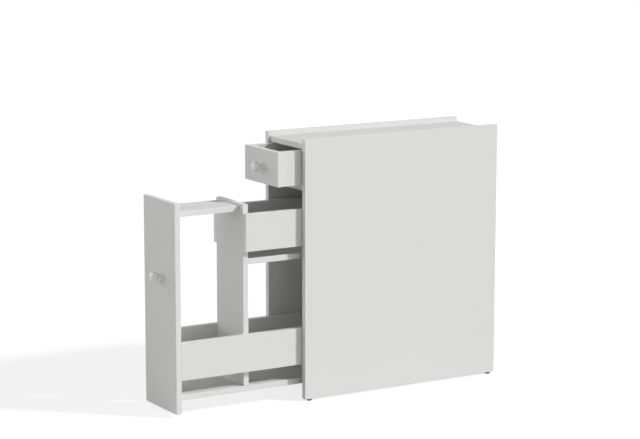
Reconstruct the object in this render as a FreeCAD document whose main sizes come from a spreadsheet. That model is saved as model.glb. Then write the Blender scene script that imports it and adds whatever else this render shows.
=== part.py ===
import FreeCAD, Part
import os
import re
import Sketcher

# Narrow bathroom cabinet: a slim casing, open at its front end, with a small drawer above a tall pull-out.
# Millimetres. +X is the right side, -Y the front, +Z up.
# The origin is on the floor, under the middle of the whole as it stands here, from knob to rear edge.
# The drawer and the pull-out are drawn part of the way out.

sizes = {
    # casing
    "casing_width": 165,
    "casing_depth": 480,
    "casing_height": 550,
    "casing_board": 12,
    "top_lip": 10,              # side panels stand this far above the top surface
    "front_recess": 4.5,        # fronts, top and drawer shelf lie this far behind the side panels' edges
    "drawer_bay": 74,           # clear height between drawer shelf and top panel
    "back_lift": 8,             # back panel's lower edge above the side panels' lower edges
    "foot_height": 4,
    "foot_diameter": 12,
    "foot_round": 1.2,          # eased lower rim of a foot
    "foot_inset": 13,           # foot centre from the side panel's end
    "foot_pin_diameter": 2.4,
    "foot_pin_length": 14,
    # fits
    "front_gap": 1.5,           # between a front and the side panels
    "slide_gap": 0.3,           # under and over a sliding piece
    "back_gap": 1,              # behind the drawer and the pull-out when they are shut
    "stop_gap": 0.3,            # left between a stop and what it catches
    "hole_fit": 0.1,            # a hole's diameter over its fastener's
    "hole_spare": 0.5,          # a blind hole's depth beyond its fastener's end
    "overrun": 1,               # cutters start this far outside the face they cut
    # drawer and pull-out fronts
    "front_board": 12,
    "front_top_gap": 1.5,       # between a front and the board above it
    "knob_diameter": 21,
    "knob_projection": 22,
    "knob_foot_diameter": 18,
    "knob_neck_share": 0.75,    # narrowest place, of the foot's diameter
    "knob_neck_height": 4.5,    # narrowest place, from the front's face
    "knob_rim_height": 14,      # where the rim ends and its rounded edge starts
    "knob_edge_share": 0.7,     # rounded edge's radius, of the height beyond the rim
    "knob_screw_diameter": 4,
    "knob_screw_grip": 9,       # length of screw inside the knob
    "knob_screw_head_diameter": 8,
    "knob_screw_head_height": 2.4,
    # drawer
    "drawer_open": 61.5,        # how far it is drawn out here
    "drawer_travel": 260,       # from shut to its stop
    "drawer_gap": 3,            # between the drawer's sides and the casing
    "drawer_board": 12,
    "drawer_sheet": 3,          # thickness of the drawer's bottom
    "groove_depth": 5,
    "groove_rise": 8,           # groove above the drawer's lower edge
    "groove_fit": 0.2,
    "drawer_cam_share": 0.42,   # height of the cams and dowels, of the drawer's height
    "drawer_dowel_share": 0.78,
    "drawer_stop_width": 44,
    "drawer_stop_depth": 14,
    "drawer_stop_height": 10,
    "drawer_stop_screw_inset": 10,
    # pull-out
    "pullout_open": 298,        # how far it is drawn out here
    "pullout_travel": 310,      # from shut to its stops
    "pullout_board": 12,
    "pullout_floor_gap": 8,
    "pullout_knob_height": 283,
    "bottom_shelf_lift": 25,    # bottom shelf above the front's lower edge
    "roll_bay": 149.3,          # clear depth between front and divider
    "divider_drop": 16.5,       # divider's top below the front's top
    "middle_shelf_share": 0.67, # underside of the middle shelf, of the divider's height
    "short_shelf_width": 84,
    "short_shelf_drop": 4,      # short shelf below the divider's top
    "rail_board": 12,
    "rail_height_share": 0.206, # of the divider's height
    "lower_rail_gap": 32,       # lower rail above the bottom shelf
    "upper_rail_drop": 18.5,    # upper rail's top below the divider's top
    "rail_cam_share": 0.3,      # height of the cams and dowels, of the rail's height
    "rail_dowel_share": 0.7,
    # strips that carry the pull-out
    "tray_gap": 2.5,            # between the strips and the pull-out's shelves and uprights
    "runner_height": 20,
    "runner_front_gap": 2,      # behind the pull-out's front when it is shut
    "runner_lead": 6,           # bevelled lead-in at the strips' front ends
    "guide_height": 18,
    "guide_setback": 80,        # tilt guide's front end behind the runner's
    "stop_depth": 20,
    "stop_height": 20,
    "stop_side_gap": 1,         # between a stop lug and the side panel
    "strip_screw_inset": 30,
    # joinery
    "cam_diameter": 12,
    "cam_depth": 9,
    "cam_axis": 6,              # bolt's axis below the face that the cam is let into
    "cam_distance": 20,         # cam's centre from the joint
    "cam_inset": 60,            # from a casing board's end to its cams
    "cam_slot_length": 8,
    "cam_slot_width": 1.6,
    "cam_slot_depth": 1.2,
    "shelf_cam_inset": 26,      # from a pull-out shelf's edges to its cams
    "short_cam_inset": 18,      # from the short shelf's edges to its cams
    "bolt_diameter": 5,
    "bolt_grip": 8,             # length of bolt in the facing board
    "bolt_neck_diameter": 3.2,
    "bolt_neck_length": 5,
    "bolt_head_length": 3,
    "bolt_play": 0.6,           # room round the bolt's head inside the cam
    "dowel_diameter": 6,
    "dowel_face_depth": 8,      # dowel's share in the facing board
    "dowel_edge_depth": 16,     # dowel's share in the board that ends at the joint
    "screw_diameter": 3.5,
    "screw_head_diameter": 7,
    "screw_head_height": 2.5,
    "screw_head_rim": 0.8,
    "screw_tip": 3,
    "strip_screw_length": 18,
    "shelf_screw_length": 40,
}

doc = FreeCAD.newDocument("narrow_cabinet")
sheet = doc.addObject("Spreadsheet::Sheet", "Sizes")
for row, (alias, value) in enumerate(sizes.items(), start=1):
    sheet.set(f"A{row}", alias)
    sheet.set(f"B{row}", str(value))
    sheet.setAlias(f"B{row}", alias)
doc.recompute()

ways = {
    "+x": FreeCAD.Vector(1, 0, 0),
    "-x": FreeCAD.Vector(-1, 0, 0),
    "+y": FreeCAD.Vector(0, 1, 0),
    "-y": FreeCAD.Vector(0, -1, 0),
    "+z": FreeCAD.Vector(0, 0, 1),
    "-z": FreeCAD.Vector(0, 0, -1),
}
origin = FreeCAD.Vector(0, 0, 0)
blanks = {}     # board name: its plain block
cutters = {}    # board name: what is cut from it
groups = {}     # fastener group: its fasteners
nodes = {}      # node name: finished object


def formula(text):
    # plain size names become references to the sheet
    return re.sub(r"[a-z][a-z_]+", r"Sizes.\g<0>", text)


def bind(item, prop, text):
    item.setExpression(prop, formula(text))


def spot(point):
    # where a point given by two formulas lies with the sheet's present numbers
    across, up = (float(sheet.evalExpression(formula(text))) for text in point)
    return FreeCAD.Vector(across, up, 0)


def place(item, point):
    for axis, text in zip("xyz", point):
        bind(item, f"Placement.Base.{axis}", text)


def opposite(way):
    return ("-" if way[0] == "+" else "+") + way[1]


def along(point, way, distance):
    moved = list(point)
    moved["xyz".index(way[1])] += f" {way[0]} ({distance})"
    return moved


def facing(way):
    # turns a piece's own Z axis to the given way
    return FreeCAD.Rotation(ways["+z"], ways[way])


def block(name, low, high):
    item = doc.addObject("Part::Box", name)
    for prop, start, end in zip(("Length", "Width", "Height"), low, high):
        bind(item, prop, f"({end}) - ({start})")
    place(item, low)
    return item


def board(name, low, high):
    blanks[name] = block(name + "_blank", low, high)
    cutters[name] = []


def groove(name, low, high):
    cutters[name].append(block(name + "_groove", low, high))


def drill(name, mouth, way, diameter, depth):
    cutter = doc.addObject("Part::Cylinder", name + "_hole")
    bind(cutter, "Radius", f"({diameter}) / 2")
    bind(cutter, "Height", f"({depth}) + overrun")
    cutter.Placement = FreeCAD.Placement(origin, facing(way))
    place(cutter, along(mouth, opposite(way), "overrun"))
    cutters[name].append(cutter)


def own_plane(body, role):
    return next(feature for feature in body.Origin.OriginFeatures if feature.Role == role)


def new_sketch(body, role):
    sketch = body.newObject("Sketcher::SketchObject", body.Name + "_outline")
    sketch.AttachmentSupport = (own_plane(body, role), [""])
    sketch.MapMode = "FlatFace"
    return sketch


def hold(sketch, edge, end, kind, text):
    # keeps one end of an edge, or the middle of an arc, at a distance from one of the sketch's axes
    if text == "0":
        axis = {"DistanceX": -2, "DistanceY": -1}[kind]
        sketch.addConstraint(Sketcher.Constraint("PointOnObject", edge, end, axis))
        return
    here = sketch.getPoint(edge, end)
    distance = {"DistanceX": here.x, "DistanceY": here.y}[kind]
    number = sketch.addConstraint(Sketcher.Constraint(kind, -1, 1, edge, end, distance))
    sketch.renameConstraint(number, f"{kind}_{edge}_{end}")
    bind(sketch, f"Constraints.{kind}_{edge}_{end}", text)


def outline(sketch, points, middles=None):
    # closed outline through the points, straight but for the edges that have a middle to go round
    middles = middles or {}
    count = len(points)
    ends = []   # each edge's end at its own point, and its end at the next
    for edge in range(count):
        start, end = spot(points[edge]), spot(points[(edge + 1) % count])
        if edge not in middles:
            sketch.addGeometry(Part.LineSegment(start, end))
            ends.append((1, 2))
            continue
        middle = spot(middles[edge])
        circle = Part.Circle(middle, ways["+z"], middle.distanceToPoint(start))
        clockwise = (start - middle).cross(end - middle).z < 0
        first, last = (end, start) if clockwise else (start, end)
        sketch.addGeometry(Part.ArcOfCircle(circle, circle.parameter(first), circle.parameter(last)))
        ends.append((2, 1) if clockwise else (1, 2))
    for edge in range(count):
        after = (edge + 1) % count
        sketch.addConstraint(Sketcher.Constraint("Coincident", edge, ends[edge][1], after, ends[after][0]))
    for edge, (across, up) in enumerate(points):
        hold(sketch, edge, ends[edge][0], "DistanceX", across)
        hold(sketch, edge, ends[edge][0], "DistanceY", up)
    for edge, middle in middles.items():
        hold(sketch, edge, 3, "DistanceY", middle[1])


def revolve(body, sketch):
    turning = body.newObject("PartDesign::Revolution", body.Name + "_turning")
    turning.Profile = sketch
    turning.ReferenceAxis = (sketch, ["V_Axis"])
    turning.Angle = 360
    return body


def turned(name, points, middles=None):
    # piece turned about its own Z axis, from (radius, height) points
    body = doc.addObject("PartDesign::Body", name)
    sketch = new_sketch(body, "XZ_Plane")
    outline(sketch, points, middles)
    return revolve(body, sketch)


def strip(name, side, front_y, low_z, points):
    # strip along a side panel, padded across from its side outline
    body = doc.addObject("PartDesign::Body", name + "_blank")
    sketch = new_sketch(body, "YZ_Plane")
    outline(sketch, points)
    pad = body.newObject("PartDesign::Pad", name + "_pad")
    pad.Profile = sketch
    bind(pad, "Length", strip_width)
    low_x = side_span(side, strip_inner, inner)[0]
    place(body, (low_x, front_y, low_z))
    blanks[name] = body
    cutters[name] = []


def side_span(side, near, far):
    # low and high X of something that lies between two distances from the middle
    return (near, far) if side == "right" else (f"-({far})", f"-({near})")


def side_place(side, distance):
    return distance if side == "right" else f"-({distance})"


def seat(group, master, point, turn):
    link = doc.addObject("App::Link", group + "_item")
    link.LinkedObject = master
    link.Placement = FreeCAD.Placement(origin, turn)
    place(link, point)
    groups.setdefault(group, []).append(link)


def cam_joint(unit, cam_board, bolt_board, corner, into, face):
    # corner lies in the joint, on the face that the cam is let into; into runs along the cam's board
    axis = along(corner, opposite(face), "cam_axis")
    drill(bolt_board, axis, opposite(into), "bolt_diameter + hole_fit", "bolt_grip + hole_spare")
    drill(cam_board, axis, into, "bolt_diameter + hole_fit", "cam_distance")
    seat(unit + "_cam_bolts", cam_bolt, along(axis, opposite(into), "bolt_grip"), facing(into))
    mouth = along(corner, into, "cam_distance")
    drill(cam_board, mouth, opposite(face), "cam_diameter + hole_fit", "cam_depth + hole_spare")
    towards = ways[opposite(into)]
    turn = FreeCAD.Rotation(towards, ways[face].cross(towards), ways[face], "ZXY")
    seat(unit + "_cam_locks", cam_lock, mouth, turn)


def dowel_joint(unit, edge_board, face_board, point, into):
    # into runs from the joint into the board that ends there
    drill(edge_board, point, into, "dowel_diameter + hole_fit", "dowel_edge_depth + hole_spare")
    drill(face_board, point, opposite(into), "dowel_diameter + hole_fit", "dowel_face_depth + hole_spare")
    seat(unit + "_dowels", dowel, along(point, opposite(into), "dowel_face_depth"), facing(into))


def screw_joint(unit, master, length, held, held_depth, holder, point, way):
    # flush screw, driven the given way through one board into another
    drill(held, point, way, "screw_head_diameter + hole_fit", "screw_head_height + hole_fit")
    drill(held, point, way, "screw_diameter + hole_fit", f"{held_depth} + overrun")
    joint = along(point, way, held_depth)
    drill(holder, joint, way, "screw_diameter + hole_fit", f"{length} - ({held_depth}) + hole_spare")
    seat(unit + "_screws", master, point, facing(way))


# Casing: places that several pieces share
outer = "(casing_width / 2)"
inner = "(casing_width / 2 - casing_board)"
tail_y = "((casing_depth - front_recess + pullout_open + knob_projection) / 2)"
mouth_y = f"({tail_y} - casing_depth)"
inset_y = f"({mouth_y} + front_recess)"
back_y = f"({tail_y} - casing_board)"
top_z = "(casing_height - top_lip)"
bay_top_z = f"({top_z} - casing_board)"
shelf_top_z = f"({bay_top_z} - drawer_bay)"
shelf_under_z = f"({shelf_top_z} - casing_board)"
back_low_z = "(foot_height + back_lift)"
front_half = f"({inner} - front_gap)"

# Drawer: shared places
drawer_face_y = f"({inset_y} - drawer_open)"
drawer_joint_y = f"({drawer_face_y} + front_board)"
drawer_rear_y = f"({back_y} - back_gap - drawer_open)"
drawer_back_y = f"({drawer_rear_y} - drawer_board)"
drawer_half = f"({inner} - drawer_gap)"
drawer_inner = f"({drawer_half} - drawer_board)"
drawer_low_z = f"({shelf_top_z} + slide_gap)"
drawer_high_z = f"({bay_top_z} - front_top_gap)"

# Pull-out: shared places
face_y = f"({inset_y} - pullout_open)"
joint_y = f"({face_y} + front_board)"
divider_y = f"({joint_y} + roll_bay)"
divider_rear_y = f"({divider_y} + pullout_board)"
rear_y = f"({back_y} - back_gap - pullout_open)"
rear_panel_y = f"({rear_y} - pullout_board)"
tray_half = f"({front_half} - rail_board)"
short_half = "(short_shelf_width / 2)"
front_top_z = f"({shelf_under_z} - front_top_gap)"
bottom_under_z = "(pullout_floor_gap + bottom_shelf_lift)"
bottom_top_z = f"({bottom_under_z} + pullout_board)"
divider_top_z = f"({front_top_z} - divider_drop)"
divider_height = f"({divider_top_z} - {bottom_top_z})"
rail_height = f"({divider_height} * rail_height_share)"
lower_rail_z = f"({bottom_top_z} + lower_rail_gap)"
lower_rail_top_z = f"({lower_rail_z} + {rail_height})"
upper_rail_top_z = f"({divider_top_z} - upper_rail_drop)"
upper_rail_z = f"({upper_rail_top_z} - {rail_height})"
middle_under_z = f"({bottom_top_z} + {divider_height} * middle_shelf_share)"
middle_top_z = f"({middle_under_z} + pullout_board)"
short_top_z = f"({divider_top_z} - short_shelf_drop)"
short_under_z = f"({short_top_z} - pullout_board)"

# Strips that carry the pull-out: shared places
runner_front_y = f"({inset_y} + front_board + runner_front_gap)"
guide_front_y = f"({runner_front_y} + guide_setback)"
strip_inner = f"({tray_half} + tray_gap)"
strip_width = f"({inner} - {strip_inner})"
runner_z = f"({lower_rail_z} - slide_gap - runner_height)"
guide_z = f"({lower_rail_top_z} + slide_gap)"
stop_z = f"({guide_z} + guide_height)"
lug_z = f"({stop_z} + slide_gap)"
stop_rear_y = f"({rear_panel_y} - (pullout_travel - pullout_open) - stop_gap)"

# Fasteners, each modelled once on its own Z axis
cam_lock = doc.addObject("Part::Cut", "cam_lock")
cam_body = doc.addObject("Part::Cylinder", "cam_body")
bind(cam_body, "Radius", "cam_diameter / 2")
bind(cam_body, "Height", "cam_depth")
place(cam_body, ("0", "0", "-cam_depth"))
cam_play = "(bolt_diameter / 2 + bolt_play)"
cam_mouth = block(
    "cam_mouth",
    ("-(bolt_head_length + bolt_play)", f"-{cam_play}", "-cam_depth - overrun"),
    ("cam_diameter / 2 + overrun", cam_play, f"-cam_axis + {cam_play}"),
)
cam_slot = block(
    "cam_slot",
    ("-cam_slot_length / 2", "-cam_slot_width / 2", "-cam_slot_depth"),
    ("cam_slot_length / 2", "cam_slot_width / 2", "overrun"),
)
cam_hollows = doc.addObject("Part::MultiFuse", "cam_hollows")
cam_hollows.Shapes = [cam_mouth, cam_slot]
cam_lock.Base = cam_body
cam_lock.Tool = cam_hollows

bolt_shank = "(bolt_grip + cam_distance - bolt_neck_length)"
cam_bolt = turned("cam_bolt", [
    ("0", "0"),
    ("bolt_diameter / 2", "0"),
    ("bolt_diameter / 2", bolt_shank),
    ("bolt_neck_diameter / 2", bolt_shank),
    ("bolt_neck_diameter / 2", f"{bolt_shank} + bolt_neck_length"),
    ("bolt_diameter / 2", f"{bolt_shank} + bolt_neck_length"),
    ("bolt_diameter / 2", f"{bolt_shank} + bolt_neck_length + bolt_head_length"),
    ("0", f"{bolt_shank} + bolt_neck_length + bolt_head_length"),
])

dowel = doc.addObject("Part::Cylinder", "dowel")
bind(dowel, "Radius", "dowel_diameter / 2")
bind(dowel, "Height", "dowel_face_depth + dowel_edge_depth")


def flush_screw(name, length):
    return turned(name, [
        ("0", "0"),
        ("screw_head_diameter / 2", "0"),
        ("screw_head_diameter / 2", "screw_head_rim"),
        ("screw_diameter / 2", "screw_head_height"),
        ("screw_diameter / 2", f"{length} - screw_tip"),
        ("0", length),
    ])


strip_screw = flush_screw("strip_screw", "strip_screw_length")
shelf_screw = flush_screw("shelf_screw", "shelf_screw_length")


def strip_joint(unit, held, held_depth, holder, point, way):
    screw_joint(unit, strip_screw, "strip_screw_length", held, held_depth, holder, point, way)


def shelf_joint(upright, point):
    # screw up through the bottom shelf into an upright that stands on it
    held = "bottom_shelf"
    screw_joint("pullout", shelf_screw, "shelf_screw_length", held, "pullout_board", upright, point, "+z")


knob_screw_length = "(front_board + knob_screw_grip)"
knob_screw = turned("knob_screw", [
    ("0", "0"),
    ("knob_screw_head_diameter / 2", "0"),
    ("knob_screw_head_diameter / 2", "knob_screw_head_height"),
    ("knob_screw_diameter / 2", "knob_screw_head_height"),
    ("knob_screw_diameter / 2", f"knob_screw_head_height + {knob_screw_length}"),
    ("0", f"knob_screw_head_height + {knob_screw_length}"),
])

foot = turned("foot", [
    ("0", "0"),
    ("foot_diameter / 2 - foot_round", "0"),
    ("foot_diameter / 2", "foot_round"),
    ("foot_diameter / 2", "foot_height"),
    ("foot_pin_diameter / 2", "foot_height"),
    ("foot_pin_diameter / 2", "foot_height + foot_pin_length"),
    ("0", "foot_height + foot_pin_length"),
])


# Knob: a hollowed neck that flares into the rim, then a rounded edge and a shallow dome, with a blind bore
knob_rim = "(knob_diameter / 2)"
knob_foot = "(knob_foot_diameter / 2)"
knob_hollow = f"({knob_foot} * (1 - knob_neck_share))"
hollow_radius = f"(({knob_hollow}^2 + knob_neck_height^2) / (2 * {knob_hollow}))"
hollow_middle = f"({knob_foot} - {knob_hollow} + {hollow_radius})"
flare_end = f"(knob_neck_height + ({hollow_radius}^2 - ({hollow_middle} - {knob_rim})^2)^0.5)"
knob_crown = "(knob_projection - knob_rim_height)"
edge_radius = f"({knob_crown} * knob_edge_share)"
edge_middle = f"({knob_rim} - {edge_radius})"
dome_rise = f"({knob_crown} - {edge_radius})"
dome_drop = f"(({edge_middle}^2 - {dome_rise}^2) / (2 * {dome_rise}))"
dome_middle = f"(knob_rim_height - {dome_drop})"
dome_radius = f"(knob_projection - {dome_middle})"
dome_share = f"({dome_radius} / ({dome_radius} - {edge_radius}))"
knob_bore = "((knob_screw_diameter + hole_fit) / 2)"
bore_depth = "(knob_screw_grip + hole_spare)"
knob = turned("knob", [
    ("0", "knob_projection"),
    ("0", bore_depth),
    (knob_bore, bore_depth),
    (knob_bore, "0"),
    (knob_foot, "0"),
    (knob_rim, flare_end),
    (knob_rim, "knob_rim_height"),
    (f"{edge_middle} * {dome_share}", f"{dome_middle} + {dome_drop} * {dome_share}"),
], {
    4: (hollow_middle, "knob_neck_height"),
    6: (edge_middle, "knob_rim_height"),
    7: ("0", dome_middle),
})


def knob_on(name, front, face, back, height):
    # knob on a front's face, held by a screw from behind
    drill(front, ("0", back, height), "-y", "knob_screw_diameter + hole_fit", "front_board + overrun")
    seat(name, knob, ("0", face, height), facing("-y"))
    head = along(("0", back, height), "+y", "knob_screw_head_height")
    seat(name + "_screw", knob_screw, head, facing("-y"))


# Casing boards
board("top_panel", (f"-{inner}", inset_y, bay_top_z), (inner, tail_y, top_z))
board("drawer_shelf", (f"-{inner}", inset_y, shelf_under_z), (inner, back_y, shelf_top_z))
board("back_panel", (f"-{inner}", back_y, back_low_z), (inner, tail_y, bay_top_z))
for side in ("right", "left"):
    low_x, high_x = side_span(side, inner, outer)
    board(f"{side}_side_panel", (low_x, mouth_y, "foot_height"), (high_x, tail_y, "casing_height"))

# Casing joinery, feet, strips and stops, the same on both sides
for side in ("right", "left"):
    panel = f"{side}_side_panel"
    outward = "+x" if side == "right" else "-x"
    inward = opposite(outward)
    inner_x = side_place(side, inner)
    cam_front_y = f"({inset_y} + cam_inset)"
    cam_rear_y = f"({back_y} - cam_inset)"
    for name, under_z in (("top_panel", bay_top_z), ("drawer_shelf", shelf_under_z)):
        for cam_y in (cam_front_y, cam_rear_y):
            cam_joint("casing", name, panel, (inner_x, cam_y, under_z), inward, "-z")
        middle_z = f"({under_z} + casing_board / 2)"
        dowel_joint("casing", name, panel, (inner_x, f"({cam_front_y} + {cam_rear_y}) / 2", middle_z), inward)
    cam_low_z = f"({back_low_z} + cam_inset)"
    cam_high_z = f"({bay_top_z} - cam_inset)"
    for cam_z in (cam_low_z, cam_high_z):
        cam_joint("casing", "back_panel", panel, (inner_x, tail_y, cam_z), inward, "+y")
    middle_y = f"({tail_y} - casing_board / 2)"
    middle_z = f"({cam_low_z} + {cam_high_z}) / 2"
    dowel_joint("casing", "back_panel", panel, (inner_x, middle_y, middle_z), inward)

    foot_x = side_place(side, f"{outer} - casing_board / 2")
    for end, foot_y in (("front", f"{mouth_y} + foot_inset"), ("rear", f"{tail_y} - foot_inset")):
        seat(f"{end}_{side}_foot", foot, (foot_x, foot_y, "0"), facing("+z"))
        hole = (foot_x, foot_y, "foot_height")
        drill(panel, hole, "+z", "foot_pin_diameter + hole_fit", "foot_pin_length + hole_spare")

    runner = f"{side}_runner"
    guide = f"{side}_tilt_guide"
    runner_length = f"({back_y} - {runner_front_y})"
    guide_length = f"({back_y} - {guide_front_y})"
    strip(runner, side, runner_front_y, runner_z, [
        ("0", "0"),
        (runner_length, "0"),
        (runner_length, "runner_height"),
        ("runner_lead", "runner_height"),
        ("0", "runner_height - runner_lead / 2"),
    ])
    strip(guide, side, guide_front_y, guide_z, [
        ("0", "runner_lead / 2"),
        ("runner_lead", "0"),
        (guide_length, "0"),
        (guide_length, "guide_height"),
        ("0", "guide_height"),
    ])
    strip_x = side_place(side, strip_inner)
    for name, front_y, middle_z in (
        (runner, runner_front_y, f"{runner_z} + runner_height / 2"),
        (guide, guide_front_y, f"{guide_z} + guide_height / 2"),
    ):
        for screw_y in (
            f"{front_y} + strip_screw_inset",
            f"({front_y} + {back_y}) / 2",
            f"{back_y} - strip_screw_inset",
        ):
            strip_joint("casing", name, strip_width, panel, (strip_x, screw_y, middle_z), outward)

    stop = f"{side}_pullout_stop"
    low_x, high_x = side_span(side, strip_inner, inner)
    board(
        stop,
        (low_x, f"{stop_rear_y} - stop_depth", stop_z),
        (high_x, stop_rear_y, f"{stop_z} + stop_height"),
    )
    point = (strip_x, f"{stop_rear_y} - stop_depth / 2", f"{stop_z} + stop_height / 2")
    strip_joint("casing", stop, strip_width, panel, point, outward)

# Drawer stop under the top panel, caught by the drawer's back
drawer_stop_y = f"({drawer_back_y} - (drawer_travel - drawer_open) - stop_gap)"
drawer_stop_z = f"({bay_top_z} - drawer_stop_height)"
board(
    "drawer_stop",
    ("-drawer_stop_width / 2", f"{drawer_stop_y} - drawer_stop_depth", drawer_stop_z),
    ("drawer_stop_width / 2", drawer_stop_y, bay_top_z),
)
for sign in ("", "-"):
    screw_x = f"{sign}(drawer_stop_width / 2 - drawer_stop_screw_inset)"
    point = (screw_x, f"{drawer_stop_y} - drawer_stop_depth / 2", drawer_stop_z)
    strip_joint("casing", "drawer_stop", "drawer_stop_height", "top_panel", point, "+z")

# Drawer: four boards round a thin bottom held in grooves
groove_half = f"({drawer_inner} + groove_depth)"
groove_low_z = f"({drawer_low_z} + groove_rise)"
groove_high_z = f"({groove_low_z} + drawer_sheet + groove_fit)"
groove_front_y = f"({drawer_joint_y} - groove_depth)"
groove_rear_y = f"({drawer_back_y} + groove_depth)"
board(
    "drawer_front",
    (f"-{front_half}", drawer_face_y, drawer_low_z),
    (front_half, drawer_joint_y, drawer_high_z),
)
board(
    "drawer_back",
    (f"-{drawer_inner}", drawer_back_y, drawer_low_z),
    (drawer_inner, drawer_rear_y, drawer_high_z),
)
groove(
    "drawer_front",
    (f"-{groove_half}", groove_front_y, groove_low_z),
    (groove_half, f"{drawer_joint_y} + overrun", groove_high_z),
)
groove(
    "drawer_back",
    (f"-{drawer_inner} - overrun", f"{drawer_back_y} - overrun", groove_low_z),
    (f"{drawer_inner} + overrun", groove_rear_y, groove_high_z),
)
board(
    "drawer_bottom",
    (f"-({groove_half} - groove_fit)", f"{groove_front_y} + groove_fit", f"{groove_low_z} + groove_fit / 2"),
    (f"{groove_half} - groove_fit", f"{groove_rear_y} - groove_fit", f"{groove_high_z} - groove_fit / 2"),
)
for side in ("right", "left"):
    name = f"drawer_{side}_side"
    low_x, high_x = side_span(side, drawer_inner, drawer_half)
    board(name, (low_x, drawer_joint_y, drawer_low_z), (high_x, drawer_rear_y, drawer_high_z))
    low_x, high_x = side_span(side, f"{drawer_inner} - overrun", groove_half)
    groove(
        name,
        (low_x, f"{drawer_joint_y} - overrun", groove_low_z),
        (high_x, f"{drawer_rear_y} + overrun", groove_high_z),
    )
    inward = "-x" if side == "right" else "+x"
    inner_x = side_place(side, drawer_inner)
    middle_x = side_place(side, f"{drawer_inner} + drawer_board / 2")
    cam_z = f"{drawer_low_z} + ({drawer_high_z} - {drawer_low_z}) * drawer_cam_share"
    dowel_z = f"{drawer_low_z} + ({drawer_high_z} - {drawer_low_z}) * drawer_dowel_share"
    cam_joint("drawer", name, "drawer_front", (inner_x, drawer_joint_y, cam_z), "+y", inward)
    dowel_joint("drawer", name, "drawer_front", (middle_x, drawer_joint_y, dowel_z), "+y")
    cam_joint("drawer", "drawer_back", name, (inner_x, drawer_rear_y, cam_z), inward, "+y")
    middle_y = f"{drawer_rear_y} - drawer_board / 2"
    dowel_joint("drawer", "drawer_back", name, (inner_x, middle_y, dowel_z), inward)
middle_z = f"({drawer_low_z} + {drawer_high_z}) / 2"
knob_on("drawer_knob", "drawer_front", drawer_face_y, drawer_joint_y, middle_z)

# Pull-out: front, shelves, divider and back, held together along both sides by the rails
board("pullout_front", (f"-{front_half}", face_y, "pullout_floor_gap"), (front_half, joint_y, front_top_z))
board("bottom_shelf", (f"-{tray_half}", joint_y, bottom_under_z), (tray_half, rear_y, bottom_top_z))
board(
    "middle_shelf",
    (f"-{tray_half}", divider_rear_y, middle_under_z),
    (tray_half, rear_panel_y, middle_top_z),
)
board("short_shelf", (f"-{short_half}", joint_y, short_under_z), (short_half, divider_y, short_top_z))
board("divider", (f"-{tray_half}", divider_y, bottom_top_z), (tray_half, divider_rear_y, divider_top_z))
board("pullout_back", (f"-{tray_half}", rear_panel_y, bottom_top_z), (tray_half, rear_y, divider_top_z))
knob_on("pullout_knob", "pullout_front", face_y, joint_y, "pullout_knob_height")

divider_middle_y = f"({divider_y} + pullout_board / 2)"
rear_middle_y = f"({rear_y} - pullout_board / 2)"
for side in ("right", "left"):
    outward = "+x" if side == "right" else "-x"
    inward = opposite(outward)
    lower = f"{side}_lower_rail"
    upper = f"{side}_upper_rail"
    low_x, high_x = side_span(side, tray_half, front_half)
    board(lower, (low_x, joint_y, lower_rail_z), (high_x, rear_y, lower_rail_top_z))
    board(upper, (low_x, divider_y, upper_rail_z), (high_x, rear_y, upper_rail_top_z))
    tray_x = side_place(side, tray_half)
    rail_middle_x = side_place(side, f"{tray_half} + rail_board / 2")

    # rails to front, divider and back
    front_cam_z = f"{lower_rail_z} + {rail_height} * rail_cam_share"
    front_dowel_z = f"{lower_rail_z} + {rail_height} * rail_dowel_share"
    cam_joint("pullout", lower, "pullout_front", (tray_x, joint_y, front_cam_z), "+y", inward)
    dowel_joint("pullout", lower, "pullout_front", (rail_middle_x, joint_y, front_dowel_z), "+y")
    for rail, rail_z in ((lower, lower_rail_z), (upper, upper_rail_z)):
        cam_z = f"{rail_z} + {rail_height} * rail_cam_share"
        dowel_z = f"{rail_z} + {rail_height} * rail_dowel_share"
        cam_joint("pullout", "pullout_back", rail, (tray_x, rear_y, cam_z), inward, "+y")
        dowel_joint("pullout", "pullout_back", rail, (tray_x, rear_middle_y, dowel_z), inward)
        dowel_joint("pullout", "divider", rail, (tray_x, divider_middle_y, dowel_z), inward)

    # shelves to front, divider and back
    cam_x = side_place(side, f"{tray_half} - shelf_cam_inset")
    short_x = side_place(side, f"{short_half} - short_cam_inset")
    cam_joint("pullout", "bottom_shelf", "pullout_front", (cam_x, joint_y, bottom_under_z), "+y", "-z")
    cam_joint("pullout", "short_shelf", "pullout_front", (short_x, joint_y, short_under_z), "+y", "-z")
    cam_joint("pullout", "middle_shelf", "divider", (cam_x, divider_rear_y, middle_under_z), "+y", "-z")
    cam_joint("pullout", "middle_shelf", "pullout_back", (cam_x, rear_panel_y, middle_under_z), "-y", "-z")
    short_middle_z = f"{short_top_z} - pullout_board / 2"
    dowel_joint("pullout", "short_shelf", "divider", (short_x, divider_y, short_middle_z), "-y")
    for upright, middle_y in (("divider", divider_middle_y), ("pullout_back", rear_middle_y)):
        shelf_joint(upright, (cam_x, middle_y, bottom_under_z))

    # lug that meets the casing's stop
    lug = f"{side}_stop_lug"
    low_x, high_x = side_span(side, tray_half, f"{inner} - stop_side_gap")
    board(lug, (low_x, rear_panel_y, lug_z), (high_x, rear_y, f"{lug_z} + stop_height"))
    lug_face = side_place(side, f"{inner} - stop_side_gap")
    point = (lug_face, rear_middle_y, f"{lug_z} + stop_height / 2")
    lug_width = f"({inner} - stop_side_gap - {tray_half})"
    strip_joint("pullout", lug, lug_width, "pullout_back", point, inward)

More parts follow.
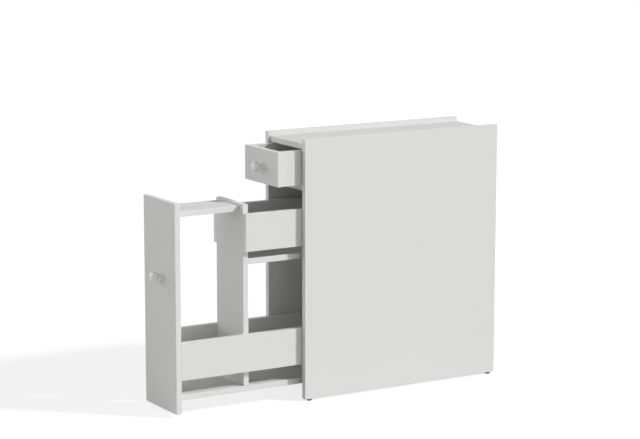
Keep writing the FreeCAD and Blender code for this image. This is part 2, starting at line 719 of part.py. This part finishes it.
# Boards with their holes and grooves cut
for name, blank in blanks.items():
    if not cutters[name]:
        nodes[name] = blank
        continue
    drilled = doc.addObject("Part::Cut", name)
    drilled.Base = blank
    if len(cutters[name]) == 1:
        drilled.Tool = cutters[name][0]
    else:
        drilled.Tool = doc.addObject("Part::MultiFuse", name + "_cutters")
        drilled.Tool.Shapes = cutters[name]
    nodes[name] = drilled

# Fasteners, feet and knobs in their groups
for name, items in groups.items():
    nodes[name] = doc.addObject("Part::Compound", name)
    nodes[name].Links = items

for name, item in nodes.items():
    item.Label = name
doc.recompute()

for item in doc.Objects:
    if "Invalid" in item.State or "Error" in item.State:
        raise RuntimeError(f"{item.Name} did not build: {item.State}")
for name, item in nodes.items():
    if item.Label != name:
        raise RuntimeError(f"{name} is labelled {item.Label}")
    if item.Shape.isNull() or not item.Shape.isValid() or not item.Shape.Solids:
        raise RuntimeError(f"{name} has no valid solid")

os.makedirs("parts", exist_ok=True)
for name, item in nodes.items():
    item.Shape.exportStep(f"parts/{name}.step")
print(len(nodes), "nodes,", sum(len(item.Shape.Solids) for item in nodes.values()), "solids")
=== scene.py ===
import math

import bmesh
import bpy
from mathutils import Matrix, Vector


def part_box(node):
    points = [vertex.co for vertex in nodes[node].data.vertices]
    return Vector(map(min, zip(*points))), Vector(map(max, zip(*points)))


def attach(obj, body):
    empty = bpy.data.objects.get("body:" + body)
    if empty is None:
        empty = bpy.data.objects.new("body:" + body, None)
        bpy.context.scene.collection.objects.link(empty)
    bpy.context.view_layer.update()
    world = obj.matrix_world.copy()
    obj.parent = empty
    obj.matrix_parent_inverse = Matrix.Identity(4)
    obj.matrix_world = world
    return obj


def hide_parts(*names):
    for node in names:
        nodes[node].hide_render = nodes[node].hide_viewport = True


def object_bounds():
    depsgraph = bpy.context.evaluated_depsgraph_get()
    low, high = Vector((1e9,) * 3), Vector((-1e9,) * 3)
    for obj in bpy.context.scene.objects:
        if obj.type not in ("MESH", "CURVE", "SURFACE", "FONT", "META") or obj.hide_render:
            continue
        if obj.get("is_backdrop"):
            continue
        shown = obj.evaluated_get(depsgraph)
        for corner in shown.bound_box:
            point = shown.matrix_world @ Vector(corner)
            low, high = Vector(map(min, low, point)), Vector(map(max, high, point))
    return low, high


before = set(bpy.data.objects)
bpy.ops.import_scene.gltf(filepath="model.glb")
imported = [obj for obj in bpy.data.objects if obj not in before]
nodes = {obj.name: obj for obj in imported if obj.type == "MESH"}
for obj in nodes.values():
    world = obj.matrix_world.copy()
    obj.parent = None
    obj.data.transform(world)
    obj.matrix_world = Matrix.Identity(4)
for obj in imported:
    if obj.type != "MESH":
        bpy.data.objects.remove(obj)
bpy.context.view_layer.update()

print("cabinet loaded:", len(nodes), "nodes")


# shader maths as plain expressions
class Value:
    def __init__(self, finish, socket):
        self.finish = finish
        self.socket = socket

    def maths(self, operation, first, second):
        return self.finish.node("ShaderNodeMath", {"operation": operation}, {0: first, 1: second})

    def __add__(self, other):
        return self.maths("ADD", self, other)

    def __radd__(self, other):
        return self.maths("ADD", other, self)

    def __mul__(self, other):
        return self.maths("MULTIPLY", self, other)

    def __rmul__(self, other):
        return self.maths("MULTIPLY", other, self)

    def most(self, other):
        return self.maths("MAXIMUM", self, other)


# one finish, built node by node
class Finish:
    def __init__(self, name, tree=None):
        self.material = None
        if tree is None:
            self.material = bpy.data.materials.new(name)
            self.material.use_nodes = True
            tree = self.material.node_tree
        self.tree = tree
        self.tree.nodes.clear()

    def node(self, kind, settings=None, inputs=None, output=0):
        made = self.tree.nodes.new(kind)
        for key, setting in (settings or {}).items():
            if key == "stops":
                ramp = made.color_ramp
                while len(ramp.elements) < len(setting):
                    ramp.elements.new(0.5)  # it gets its own place below
                for element, (place, colour) in zip(ramp.elements, setting):
                    element.position = place
                    element.color = (*colour, 1)
            else:
                setattr(made, key, setting)
        for key, given in (inputs or {}).items():
            if isinstance(given, Value):
                self.tree.links.new(given.socket, made.inputs[key])
            elif hasattr(made.inputs[key].default_value, "__len__"):
                whole = len(made.inputs[key].default_value)
                made.inputs[key].default_value = (*given, 1)[:whole]
            else:
                made.inputs[key].default_value = given
        return Value(self, made.outputs[output])

    def place(self):
        return self.node("ShaderNodeTexCoord", output="Object")

    def noise(self, scale, detail=2, roughness=0.5):
        values = {"Vector": self.place(), "Scale": scale, "Detail": detail, "Roughness": roughness}
        return self.node("ShaderNodeTexNoise", None, values, "Fac")

    def cells(self, scale):
        values = {"Vector": self.place(), "Scale": scale}
        return self.node("ShaderNodeTexVoronoi", None, values, "Distance")

    def tint(self, mask, low, high):  # 6, 7 and 2 are the Mix node's colour sockets
        values = {"Factor": mask, 6: low, 7: high}
        return self.node("ShaderNodeMix", {"data_type": "RGBA"}, values, 2)

    def relief(self, height, strength, distance):
        values = {"Height": height, "Strength": strength, "Distance": distance}
        return self.node("ShaderNodeBump", None, values)

    def spread(self, given, span):
        values = {"Value": given, "From Min": span[0], "From Max": span[1]}
        return self.node("ShaderNodeMapRange", None, values)

    def seen(self):  # 1 where the eye, a reflection or a clear piece looks, 0 for light itself
        rays = [self.node("ShaderNodeLightPath", output="Is " + ray + " Ray")
                for ray in ("Camera", "Glossy", "Transmission")]
        return rays[0].most(rays[1]).most(rays[2])

    def blend(self, mask, first, second):
        return self.node("ShaderNodeMixShader", None, {"Fac": mask, 1: first, 2: second})

    def close(self, shader, end="ShaderNodeOutputMaterial"):
        made = self.tree.nodes.new(end)
        self.tree.links.new(shader.socket, made.inputs["Surface"])
        return self.material

    # tone, then a grain that varies the sheen and raises the surface
    def surface(self, tone, grain, look, raised=None, metallic=0.0):
        return self.close(self.node("ShaderNodeBsdfPrincipled", None, {
            "Base Color": tone,
            "Roughness": grain * look["roughnessSpread"] + look["roughness"],
            "Normal": self.relief(raised or grain, look["bump"], look["bumpDepth"]),
            "Metallic": metallic,
            "IOR": look["ior"],
        }))


# white melamine: a satin foil with a fine pearl and hardly any drift in tone
melamine = {
    "low": (0.686, 0.690, 0.668),
    "high": (0.700, 0.704, 0.682),
    "drift": {"scale": 5, "detail": 3},
    "pearl": {"scale": 1500, "detail": 2},
    "roughness": 0.61,
    "roughnessSpread": 0.10,
    "bump": 0.25,
    "bumpDepth": 0.00003,
    "ior": 1.48,
}


def makeMelamine():
    made = Finish("whiteMelamine")
    drift = made.noise(**melamine["drift"])
    pearl = made.noise(**melamine["pearl"])
    return made.surface(made.tint(drift, melamine["low"], melamine["high"]), pearl, melamine)


# edge band: a smoother plastic strip, a touch brighter than the foil
edgeBand = {
    "low": (0.696, 0.700, 0.683),
    "high": (0.713, 0.718, 0.700),
    "mottle": {"scale": 260, "detail": 3, "roughness": 0.6},
    "roughness": 0.34,
    "roughnessSpread": 0.08,
    "bump": 0.2,
    "bumpDepth": 0.00004,
    "ior": 1.5,
}


def makeEdgeBand():
    made = Finish("edgeBand")
    mottle = made.noise(**edgeBand["mottle"])
    return made.surface(made.tint(mottle, edgeBand["low"], edgeBand["high"]), mottle, edgeBand)


# raw chipboard, seen only inside holes and grooves
chipboard = {
    "stops": [(0.25, (0.28, 0.17, 0.08)), (0.5, (0.50, 0.35, 0.20)), (0.75, (0.66, 0.51, 0.33))],
    "chips": {"scale": 420, "detail": 5, "roughness": 0.7},
    "roughness": 0.85,
    "roughnessSpread": 0.1,
    "bump": 0.6,
    "bumpDepth": 0.0003,
    "ior": 1.5,
}


def makeChipboard():
    made = Finish("rawChipboard")
    chips = made.noise(**chipboard["chips"])
    tone = made.node("ShaderNodeValToRGB", {"stops": chipboard["stops"]}, {"Fac": chips}, "Color")
    return made.surface(tone, chips, chipboard)


# drawer bottom: a sheet painted white above, brown and pressed with a mesh below
hardboard = {
    "low": (0.67, 0.67, 0.66),
    "high": (0.70, 0.70, 0.69),
    "drift": {"scale": 60, "detail": 4},
    "roughness": 0.45,
    "roughnessSpread": 0.12,
    "bump": 0.2,
    "bumpDepth": 0.0001,
    "ior": 1.5,
}
rawHardboard = {
    "low": (0.20, 0.11, 0.055),
    "high": (0.31, 0.19, 0.10),
    "fibres": {"scale": 300, "detail": 5, "roughness": 0.7},
    "mesh": {"scale": 520},
    "roughness": 0.8,
    "roughnessSpread": 0.1,
    "bump": 0.5,
    "bumpDepth": 0.0004,
    "ior": 1.5,
}


def makeHardboard():
    made = Finish("whiteHardboard")
    drift = made.noise(**hardboard["drift"])
    return made.surface(made.tint(drift, hardboard["low"], hardboard["high"]), drift, hardboard)


def makeRawHardboard():
    made = Finish("rawHardboard")
    fibres = made.noise(**rawHardboard["fibres"])
    tone = made.tint(fibres, rawHardboard["low"], rawHardboard["high"])
    return made.surface(tone, fibres, rawHardboard, raised=made.cells(**rawHardboard["mesh"]))


# turned knob: white lacquer with a slight orange peel
lacquer = {
    "low": (0.890, 0.893, 0.868),
    "high": (0.920, 0.923, 0.898),
    "flow": {"scale": 90, "detail": 3},
    "peel": {"scale": 700, "detail": 2},
    "roughness": 0.28,
    "roughnessSpread": 0.06,
    "bump": 0.15,
    "bumpDepth": 0.00006,
    "ior": 1.5,
}


def makeLacquer():
    made = Finish("whiteLacquer")
    flow = made.noise(**lacquer["flow"])
    peel = made.noise(**lacquer["peel"])
    return made.surface(made.tint(flow, lacquer["low"], lacquer["high"]), peel, lacquer)


# foot: dark nylon with a fine speckle
nylon = {
    "low": (0.10, 0.10, 0.10),
    "high": (0.17, 0.17, 0.165),
    "speckle": {"scale": 800, "detail": 4, "roughness": 0.6},
    "roughness": 0.55,
    "roughnessSpread": 0.2,
    "bump": 0.3,
    "bumpDepth": 0.00008,
    "ior": 1.5,
}


def makeNylon():
    made = Finish("darkNylon")
    speckle = made.noise(**nylon["speckle"])
    return made.surface(made.tint(speckle, nylon["low"], nylon["high"]), speckle, nylon)


# cam locks in cast zinc, screws and bolts in plated steel
metals = {
    "zinc": {
        "low": (0.40, 0.40, 0.41),
        "high": (0.56, 0.56, 0.57),
        "grain": {"scale": 900, "detail": 4, "roughness": 0.6},
        "roughness": 0.42,
        "roughnessSpread": 0.15,
        "bump": 0.25,
        "bumpDepth": 0.00005,
        "ior": 1.5,
    },
    "steel": {
        "low": (0.55, 0.55, 0.56),
        "high": (0.70, 0.70, 0.71),
        "grain": {"scale": 600, "detail": 4, "roughness": 0.6},
        "roughness": 0.28,
        "roughnessSpread": 0.12,
        "bump": 0.25,
        "bumpDepth": 0.00005,
        "ior": 1.5,
    },
}


def makeMetal(kind):
    look = metals[kind]
    made = Finish(kind + "Fitting")
    grain = made.noise(**look["grain"])
    return made.surface(made.tint(grain, look["low"], look["high"]), grain, look, metallic=1.0)


# dowels: pale beech, finely mottled
beech = {
    "low": (0.48, 0.31, 0.17),
    "high": (0.66, 0.47, 0.29),
    "mottle": {"scale": 500, "detail": 5, "roughness": 0.65},
    "roughness": 0.6,
    "roughnessSpread": 0.15,
    "bump": 0.3,
    "bumpDepth": 0.0001,
    "ior": 1.5,
}


def makeBeech():
    made = Finish("beechDowel")
    mottle = made.noise(**beech["mottle"])
    return made.surface(made.tint(mottle, beech["low"], beech["high"]), mottle, beech)


finishes = {
    "melamine": makeMelamine(),
    "band": makeEdgeBand(),
    "chipboard": makeChipboard(),
    "hardboard": makeHardboard(),
    "rawHardboard": makeRawHardboard(),
    "lacquer": makeLacquer(),
    "nylon": makeNylon(),
    "zinc": makeMetal("zinc"),
    "steel": makeMetal("steel"),
    "beech": makeBeech(),
}
print("finishes made:", len(finishes))


# boards: faces in foil, narrow edges banded, holes and grooves raw, every arris eased a little
boards = {
    "names": [
        "right_side_panel", "left_side_panel", "top_panel", "drawer_shelf", "back_panel",
        "right_runner", "left_runner", "right_tilt_guide", "left_tilt_guide",
        "right_pullout_stop", "left_pullout_stop", "drawer_stop",
        "drawer_front", "drawer_right_side", "drawer_left_side", "drawer_back", "drawer_bottom",
        "pullout_front", "bottom_shelf", "middle_shelf", "short_shelf", "divider", "pullout_back",
        "right_upper_rail", "left_upper_rail", "right_lower_rail", "left_lower_rail",
        "right_stop_lug", "left_stop_lug",
    ],
    "finishes": ("melamine", "band", "chipboard"),    # broad faces, narrow edges, raw cuts
    "sheet": "drawer_bottom",
    "sheetFinishes": ("hardboard", "hardboard", "rawHardboard"),
    "strips": ("runner", "guide"),    # how the strips' names end
    "facing": 0.7,        # least part of a face's normal along its axis
    "onFace": 0.00002,    # a point this near to the board's box lies on it
    "stepArea": 0.00001,  # larger inner faces of the strips are banded steps
    "weld": 0.00001,
    "arris": 0.0006,
    "arrisSegments": 2,
}


def finishFaces(name, mesh, low, high):
    extent = high - low
    thin = min(range(3), key=lambda axis: extent[axis])
    sheet = name == boards["sheet"]
    strip = name.endswith(boards["strips"])
    broad, narrow, raw = range(3)
    mesh.materials.clear()
    for finish in boards["sheetFinishes" if sheet else "finishes"]:
        mesh.materials.append(finishes[finish])
    for face in mesh.polygons:
        axis = max(range(3), key=lambda k: abs(face.normal[k]))
        wall = high[axis] if face.normal[axis] > 0 else low[axis]
        square = abs(face.normal[axis]) > boards["facing"]
        outside = square and abs(face.center[axis] - wall) < boards["onFace"]
        if sheet:
            face.material_index = raw if face.normal.z < -boards["facing"] else broad
        elif outside:
            face.material_index = broad if axis == thin else narrow
        else:
            step = strip and axis != thin and face.area > boards["stepArea"]
            face.material_index = narrow if step else raw


def easeArrises(board, mesh, low, high):
    walls = []    # the sides of its box that each point lies on
    for point in mesh.vertices:
        reach = [min(at - near, far - at) for at, near, far in zip(point.co, low, high)]
        walls.append({axis for axis in range(3) if reach[axis] < boards["onFace"]})
    arris = mesh.attributes.new("bevel_weight_edge", "FLOAT", "EDGE")
    for edge, weight in zip(mesh.edges, arris.data):
        first, second = edge.vertices
        weight.value = 1.0 if len(walls[first] & walls[second]) > 1 else 0.0
    weld = board.modifiers.new("weld", "WELD")
    weld.merge_threshold = boards["weld"]
    ease = board.modifiers.new("arris", "BEVEL")
    ease.width = boards["arris"]
    ease.segments = boards["arrisSegments"]
    ease.limit_method = "WEIGHT"
    ease.use_clamp_overlap = False


def dropNormals(mesh):
    if "custom_normal" in mesh.attributes:
        mesh.attributes.remove(mesh.attributes["custom_normal"])


for name in boards["names"]:
    mesh = nodes[name].data
    low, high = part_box(name)
    finishFaces(name, mesh, low, high)
    dropNormals(mesh)
    mesh.shade_flat()
    easeArrises(nodes[name], mesh, low, high)
print("boards dressed:", len(boards["names"]))


# turned pieces and fittings take their finishes, and the screws get their heads further down
fittings = {
    "lacquer": ["drawer_knob", "pullout_knob"],
    "nylon": ["front_right_foot", "front_left_foot", "rear_right_foot", "rear_left_foot"],
    "zinc": ["casing_cam_locks", "drawer_cam_locks", "pullout_cam_locks"],
    "steel": [
        "casing_cam_bolts", "drawer_cam_bolts", "pullout_cam_bolts",
        "casing_screws", "pullout_screws", "drawer_knob_screw", "pullout_knob_screw",
    ],
    "beech": ["casing_dowels", "drawer_dowels", "pullout_dowels"],
}
for finish, names in fittings.items():
    for name in names:
        nodes[name].data.materials.clear()
        nodes[name].data.materials.append(finishes[finish])
print("fittings dressed:", sum(len(names) for names in fittings.values()))


# screws: every head gets a tapered cross recess, and the knobs' pan heads a rounded rim
screws = {
    "bodies": {
        "casing_screws": "casing",
        "pullout_screws": "pullout",
        "drawer_knob_screw": "drawer",
        "pullout_knob_screw": "pullout",
    },
    "panHeads": ("drawer_knob_screw", "pullout_knob_screw"),
    "weld": 0.000001,
    "flat": 0.002,        # radians: faces nearer to one plane become one
    "crossSpan": 0.56,    # span, width and depth are shares of the head's width
    "crossWidth": 0.13,
    "crossDepth": 0.2,
    "crossTaper": 0.55,   # the recess's foot as a share of its mouth
    "clear": 0.0002,      # the cutter starts this far outside the head
    "rim": 0.0009,
    "rimSegments": 4,
    "crease": 35,         # degrees: steeper edges stay sharp
}


def eachScrew(work):
    left = set(work.verts)
    while left:
        screw = {left.pop()}
        fresh = list(screw)
        while fresh:
            point = fresh.pop()
            near = {edge.other_vert(point) for edge in point.link_edges} - screw
            screw |= near
            fresh.extend(near)
        left -= screw
        yield [point.co.copy() for point in screw]


def findHead(points):
    low = Vector(min(point[axis] for point in points) for axis in range(3))
    high = Vector(max(point[axis] for point in points) for axis in range(3))
    long = max(range(3), key=lambda axis: high[axis] - low[axis])
    middle = (low + high) / 2
    ends = []
    for end, sign in ((low, -1), (high, 1)):
        middle[long] = end[long]
        out = Vector(sign if axis == long else 0 for axis in range(3))
        disc = [point for point in points if abs(point[long] - end[long]) < screws["weld"]]
        ends.append((max((point - middle).length for point in disc), middle.copy(), out))
    return max(ends, key=lambda end: end[0])


def addCross(cutter, radius, centre, out):
    arm = radius * screws["crossSpan"]
    half = radius * screws["crossWidth"]
    across = out.orthogonal().normalized()
    corners = [Matrix.Rotation(math.radians(90 * quarter), 2) @ Vector(corner)
               for quarter in range(4) for corner in ((arm, -half), (arm, half), (half, half))]
    mouth = (1, screws["clear"])
    foot = (screws["crossTaper"], -2 * radius * screws["crossDepth"])
    rings = []
    for scale, level in (mouth, foot):
        rings.append([
            cutter.verts.new(centre + out * level + (across * x + out.cross(across) * y) * scale)
            for x, y in corners
        ])
    top, bottom = rings
    cutter.faces.new(top)
    cutter.faces.new(reversed(bottom))
    for here in range(len(corners)):
        after = (here + 1) % len(corners)
        cutter.faces.new((top[after], top[here], bottom[here], bottom[after]))


def makeScrews(name, body):
    piece = bpy.data.objects.new(name + "_driven", nodes[name].data.copy())
    bpy.context.scene.collection.objects.link(piece)
    dropNormals(piece.data)
    work = bmesh.new()
    work.from_mesh(piece.data)
    bmesh.ops.remove_doubles(work, verts=work.verts, dist=screws["weld"])
    bmesh.ops.dissolve_limit(work, verts=work.verts, edges=work.edges, angle_limit=screws["flat"])
    cutter = bmesh.new()
    rims = work.edges.layers.float.new("bevel_weight_edge")
    for points in eachScrew(work):
        radius, centre, out = findHead(points)
        addCross(cutter, radius, centre, out)
        for edge in work.edges:
            if all(abs((point.co - centre).dot(out)) < screws["weld"] for point in edge.verts):
                edge[rims] = 1.0
    work.to_mesh(piece.data)
    work.free()
    crosses = bpy.data.objects.new("crosses", bpy.data.meshes.new("crosses"))
    bpy.context.scene.collection.objects.link(crosses)
    cutter.to_mesh(crosses.data)
    cutter.free()
    if name in screws["panHeads"]:
        rim = piece.modifiers.new("rim", "BEVEL")
        rim.width = screws["rim"]
        rim.segments = screws["rimSegments"]
        rim.limit_method = "WEIGHT"
    cut = piece.modifiers.new("cross", "BOOLEAN")
    cut.operation = "DIFFERENCE"
    cut.solver = "EXACT"
    cut.object = crosses
    ready = piece.evaluated_get(bpy.context.evaluated_depsgraph_get())
    piece.data = bpy.data.meshes.new_from_object(ready)
    piece.modifiers.clear()
    bpy.data.objects.remove(crosses)
    piece.data.shade_smooth()
    piece.data.set_sharp_from_angle(angle=math.radians(screws["crease"]))
    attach(piece, body)
    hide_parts(name)


for name, body in screws["bodies"].items():
    makeScrews(name, body)


# floor and light: a tent, brightest behind on the right and dim overhead, a key lamp from
# there too, and two wide soft lamps, one in front and one on the left
studio = {
    "floorSize": 60,
    "floorColour": (0.56, 0.56, 0.56),    # what throws light back on the cabinet
    "floorSeen": (0.30, 0.30, 0.30),      # what the eye sees, with the shadow
    "floorGlow": 0.785,                   # lifts what the eye sees to white
    "tentFront": 0.23,
    "tentRear": 2.24,
    "tentTop": 0.1,
    "tentSeen": 1.0,
    "tentTurn": (0.25, 0.85),    # from front to rear, along the key's heading
    "tentRise": (0.12, 0.42),    # from the walls to the top
    "lamps": {
        "key": {"from": (0.55, 0.60, 0.585), "strength": 2.68, "spread": 6},
        "front": {"from": (-0.06, -0.80, 0.60), "strength": 0.62, "spread": 50},
        "left": {"from": (-0.84, -0.50, 0.15), "strength": 1.25, "spread": 50},
    },
    "lampDistance": 3,
}
white = (1, 1, 1)


def makeFloor():
    bpy.ops.mesh.primitive_plane_add(size=studio["floorSize"])
    floor = bpy.context.object
    floor.name = "floor"
    made = Finish("paleFloor")
    matt = made.node("ShaderNodeBsdfDiffuse", None, {"Color": studio["floorColour"]})
    pale = made.node("ShaderNodeBsdfDiffuse", None, {"Color": studio["floorSeen"]})
    glow = made.node("ShaderNodeEmission", None, {"Color": white, "Strength": studio["floorGlow"]})
    bright = made.node("ShaderNodeAddShader", None, {0: pale, 1: glow})
    made.close(made.blend(made.seen(), matt, bright))
    floor.data.materials.append(made.material)
    floor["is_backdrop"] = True


def makeTent():
    world = bpy.data.worlds.new("studio")
    bpy.context.scene.world = world
    world.use_nodes = True
    made = Finish("studio", world.node_tree)
    way = made.node("ShaderNodeTexCoord", output="Generated")
    keyway = Vector((*studio["lamps"]["key"]["from"][:2], 0)).normalized()
    product = {"operation": "DOT_PRODUCT"}
    heading = made.node("ShaderNodeVectorMath", product, {0: way, 1: keyway}, "Value")
    rise = made.node("ShaderNodeSeparateXYZ", None, {"Vector": way}, "Z")
    rear = made.spread(heading, studio["tentTurn"])
    above = made.spread(rise, studio["tentRise"])
    walls = {key: made.node("ShaderNodeBackground", None, {"Color": white, "Strength": studio[key]})
             for key in ("tentFront", "tentRear", "tentTop", "tentSeen")}
    light = made.blend(rear, walls["tentFront"], walls["tentRear"])
    light = made.blend(above, light, walls["tentTop"])
    made.close(made.blend(made.seen(), light, walls["tentSeen"]), "ShaderNodeOutputWorld")


def makeLamp(name):
    chosen = studio["lamps"][name]
    lamp = bpy.data.lights.new(name, "SUN")
    lamp.angle = math.radians(chosen["spread"])
    lamp.energy = chosen["strength"]
    hung = bpy.data.objects.new(name, lamp)
    bpy.context.scene.collection.objects.link(hung)
    way = Vector(chosen["from"]).normalized()
    hung.location = way * studio["lampDistance"]
    hung.rotation_euler = (-way).to_track_quat("-Z", "Y").to_euler()


makeFloor()
makeTent()
for name in studio["lamps"]:
    makeLamp(name)
print("studio lit")


# camera at the photograph's place
view = {
    "azimuth": 59.0223,    # this and the next two in degrees
    "elevation": 9.9945,
    "roll": 0.0731,
    "lens": 123.094,       # millimetres, as the sensor
    "sensor": 36,
    "farthest": 100,
    "place": (3.89205, -2.33388, 1.16513),
}


def makeCamera():
    turn, rise, roll = (math.radians(view[key]) for key in ("azimuth", "elevation", "roll"))
    flat = math.cos(rise)
    back = Vector((math.sin(turn) * flat, -math.cos(turn) * flat, math.sin(rise)))
    level = Vector((math.cos(turn), math.sin(turn), 0))
    lift = back.cross(level)
    right = level * math.cos(roll) + lift * math.sin(roll)
    up = lift * math.cos(roll) - level * math.sin(roll)
    data = bpy.data.cameras.new("photoView")
    data.sensor_width = view["sensor"]
    data.lens = view["lens"]
    data.clip_end = view["farthest"]
    camera = bpy.data.objects.new("photoView", data)
    bpy.context.scene.collection.objects.link(camera)
    facing = Matrix((right, up, back)).transposed().to_4x4()
    camera.matrix_world = Matrix.Translation(view["place"]) @ facing
    bpy.context.scene.camera = camera


makeCamera()
bpy.context.scene.view_settings.view_transform = "Standard"
print("camera set")

low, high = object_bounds()
